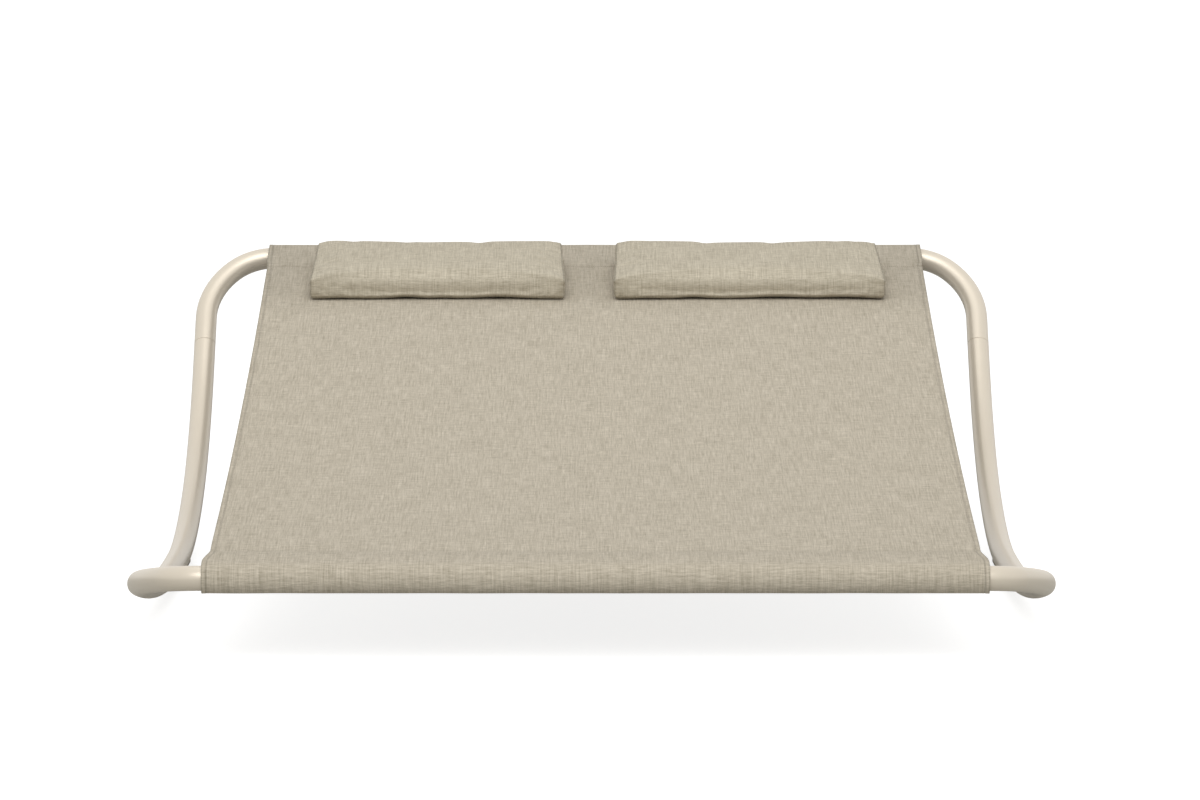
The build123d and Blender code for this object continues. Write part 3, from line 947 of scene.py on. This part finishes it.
def makeZip(sideName, pillow, base):
    # the closed zip in the cover's rear: a tape, its coil, and a slider at one end
    body = f"pillow_{sideName.lower()}"
    turn = base.to_3x3()
    skin = BVHTree.FromPolygons([vertex.co.copy() for vertex in pillow.data.vertices],
                                [tuple(face.vertices) for face in pillow.data.polygons])
    back = (turn @ Vector((0, -1, 0))).normalized()

    def onRear(x, rise, out):
        # a place on the rear face, found by looking at it from behind
        spot, _, _, _ = skin.ray_cast(base @ Vector((x, zipSize["seenFrom"], rise)), back)
        return spot - back * out

    tape = gridPiece(f"pillowZipTape{sideName}", 60, 4)
    for vertex in tape.data.vertices:
        rise = zipSize["rise"] + vertex.co.y * zipSize["tape"]
        vertex.co = onRear(-vertex.co.x * zipSize["length"], rise, zipSize["tapeOut"])
    thicken(tape, zipSize["tapeThickness"])
    finishPiece(tape, tapeMaterial, body, 50)
    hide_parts(f"pillow_zip_{sideName.lower()}")

    count = int(zipSize["length"] / zipSize["toothPitch"]) - zipSize["teethLeftOut"]
    coil = beadRow(f"pillowZipCoil{sideName}", count, (1, 0, 0))
    for vertex in coil.data.vertices:
        tooth = round(vertex.co.x / beadStep)
        spot = onRear((tooth - (count - 1) / 2) * zipSize["toothPitch"], zipSize["rise"], zipSize["teethOut"])
        x = (vertex.co.x - beadStep * tooth) * zipSize["toothPitch"]
        y, z = vertex.co.y * zipSize["toothHeight"], vertex.co.z * zipSize["tooth"]
        vertex.co = spot + turn @ Vector((x, y, z))
    finishPiece(coil, zipMaterial, body)

    end = onRear(-zipSize["length"] / 2 + zipSize["sliderFromEnd"], zipSize["rise"], zipSize["sliderOut"])
    slider = metalBlock(end, turn, zipSize["slider"], 0, 0)
    pull = metalBlock(end, turn, zipSize["pull"], zipSize["pullAside"], zipSize["pullOut"])
    slider.name = f"pillowZipSlider{sideName}"
    slider.data.name = slider.name
    selectOnly(slider)
    pull.select_set(True)
    bpy.ops.object.join()
    edges = slider.modifiers.new("edges", "BEVEL")
    edges.width = zipSize["edge"]
    edges.segments = 2
    applyModifiers(slider)
    finishPiece(slider, screwMaterial, body, 40)


def metalBlock(end, turn, size, aside, out):
    # a small block by the zip's end: its size along the zip, up and outwards, and its shift
    bpy.ops.object.select_all(action="DESELECT")
    bpy.ops.mesh.primitive_cube_add(size=1)
    block = bpy.context.object
    for vertex in block.data.vertices:
        x, y, z = vertex.co
        vertex.co = end + turn @ Vector((x * size[0] + aside, y * size[2] + out, z * size[1]))
    return block


def sewPillow(piece, seams, size):
    # grooves and gathers along the seams, creases at the rear, a wavy front base, and painted shade darkening
    # the seams, the front face and the underside
    mesh = piece.data
    seed = size["seed"]
    line = []
    for seam in seams:
        for first, second in zip(seam, seam[1:]):
            start, end = mesh.vertices[first].co, mesh.vertices[second].co
            count = max(1, round((end - start).length / mm))
            line += [start.lerp(end, step / count) for step in range(count)]
    tree = KDTree(len(line))
    for index, spot in enumerate(line):
        tree.insert(spot, index)
    tree.balance()
    halfDepth = pillowSize["depth"] / 2
    normals = [vertex.normal.copy() for vertex in mesh.vertices]
    shade = mesh.attributes.new("paintedShade", "FLOAT", "POINT")
    for vertex, normal in zip(mesh.vertices, normals):
        spot = vertex.co.copy()
        _, index, distance = tree.find(spot)
        # painted shade: the seams, the front face and the underside are drawn darker in the cloth's colour,
        # standing in for the shade there
        seamed = bell(distance, pillowSize["grooveWidth"])
        frontDark = pillowSize["frontShade"] * smoothStep(0.3, 0.85, -normal.y)
        dark, start, end = pillowSize["underShade"]
        underDark = dark * (1 - smoothStep(start, end, spot.z))
        shade.data[vertex.index].value = max(seamed * (1 - frontDark) + frontDark, underDark)
        phase = index * 2 * pi / pillowSize["gatherSpan"] + 3 * noise.noise(Vector((index * 0.02, seed, 0)))
        place, width = pillowSize["gatherBand"]
        gather = pillowSize["gather"] * sin(phase) * bell(distance - place, width)
        above = min(max(spot.z / pillowSize["wall"], 0), 1)
        soft = uneven(spot.x, spot.y, (9, 14, seed)) * pillowSize["softness"]
        fold = uneven(spot.x, spot.z, (11, 60, seed + 4)) * pillowSize["folds"]
        front = bell(spot.y + halfDepth, pillowSize["foldReach"])
        rear = bell(spot.y - halfDepth, pillowSize["creaseReach"])
        out = above * (soft * (1 - front) + fold * front) * (1 - seamed)
        out += gather - pillowSize["grooveDepth"] * seamed
        for place, depth in size["creases"]:
            out -= depth * bell(spot.x - place, pillowSize["creaseWidth"]) * rear * above
        vertex.co = spot + normal * out
        low = 1 - smoothStep(0, pillowSize["wall"], spot.z)
        near = bell(spot.y + halfDepth, pillowSize["liftReach"])
        for place, width, height in size["lifts"]:
            vertex.co.z += height * bell(spot.x - place, width) * near * low


for sideName in ("Left", "Right"):
    makePillow(sideName)
print("pillows laid")
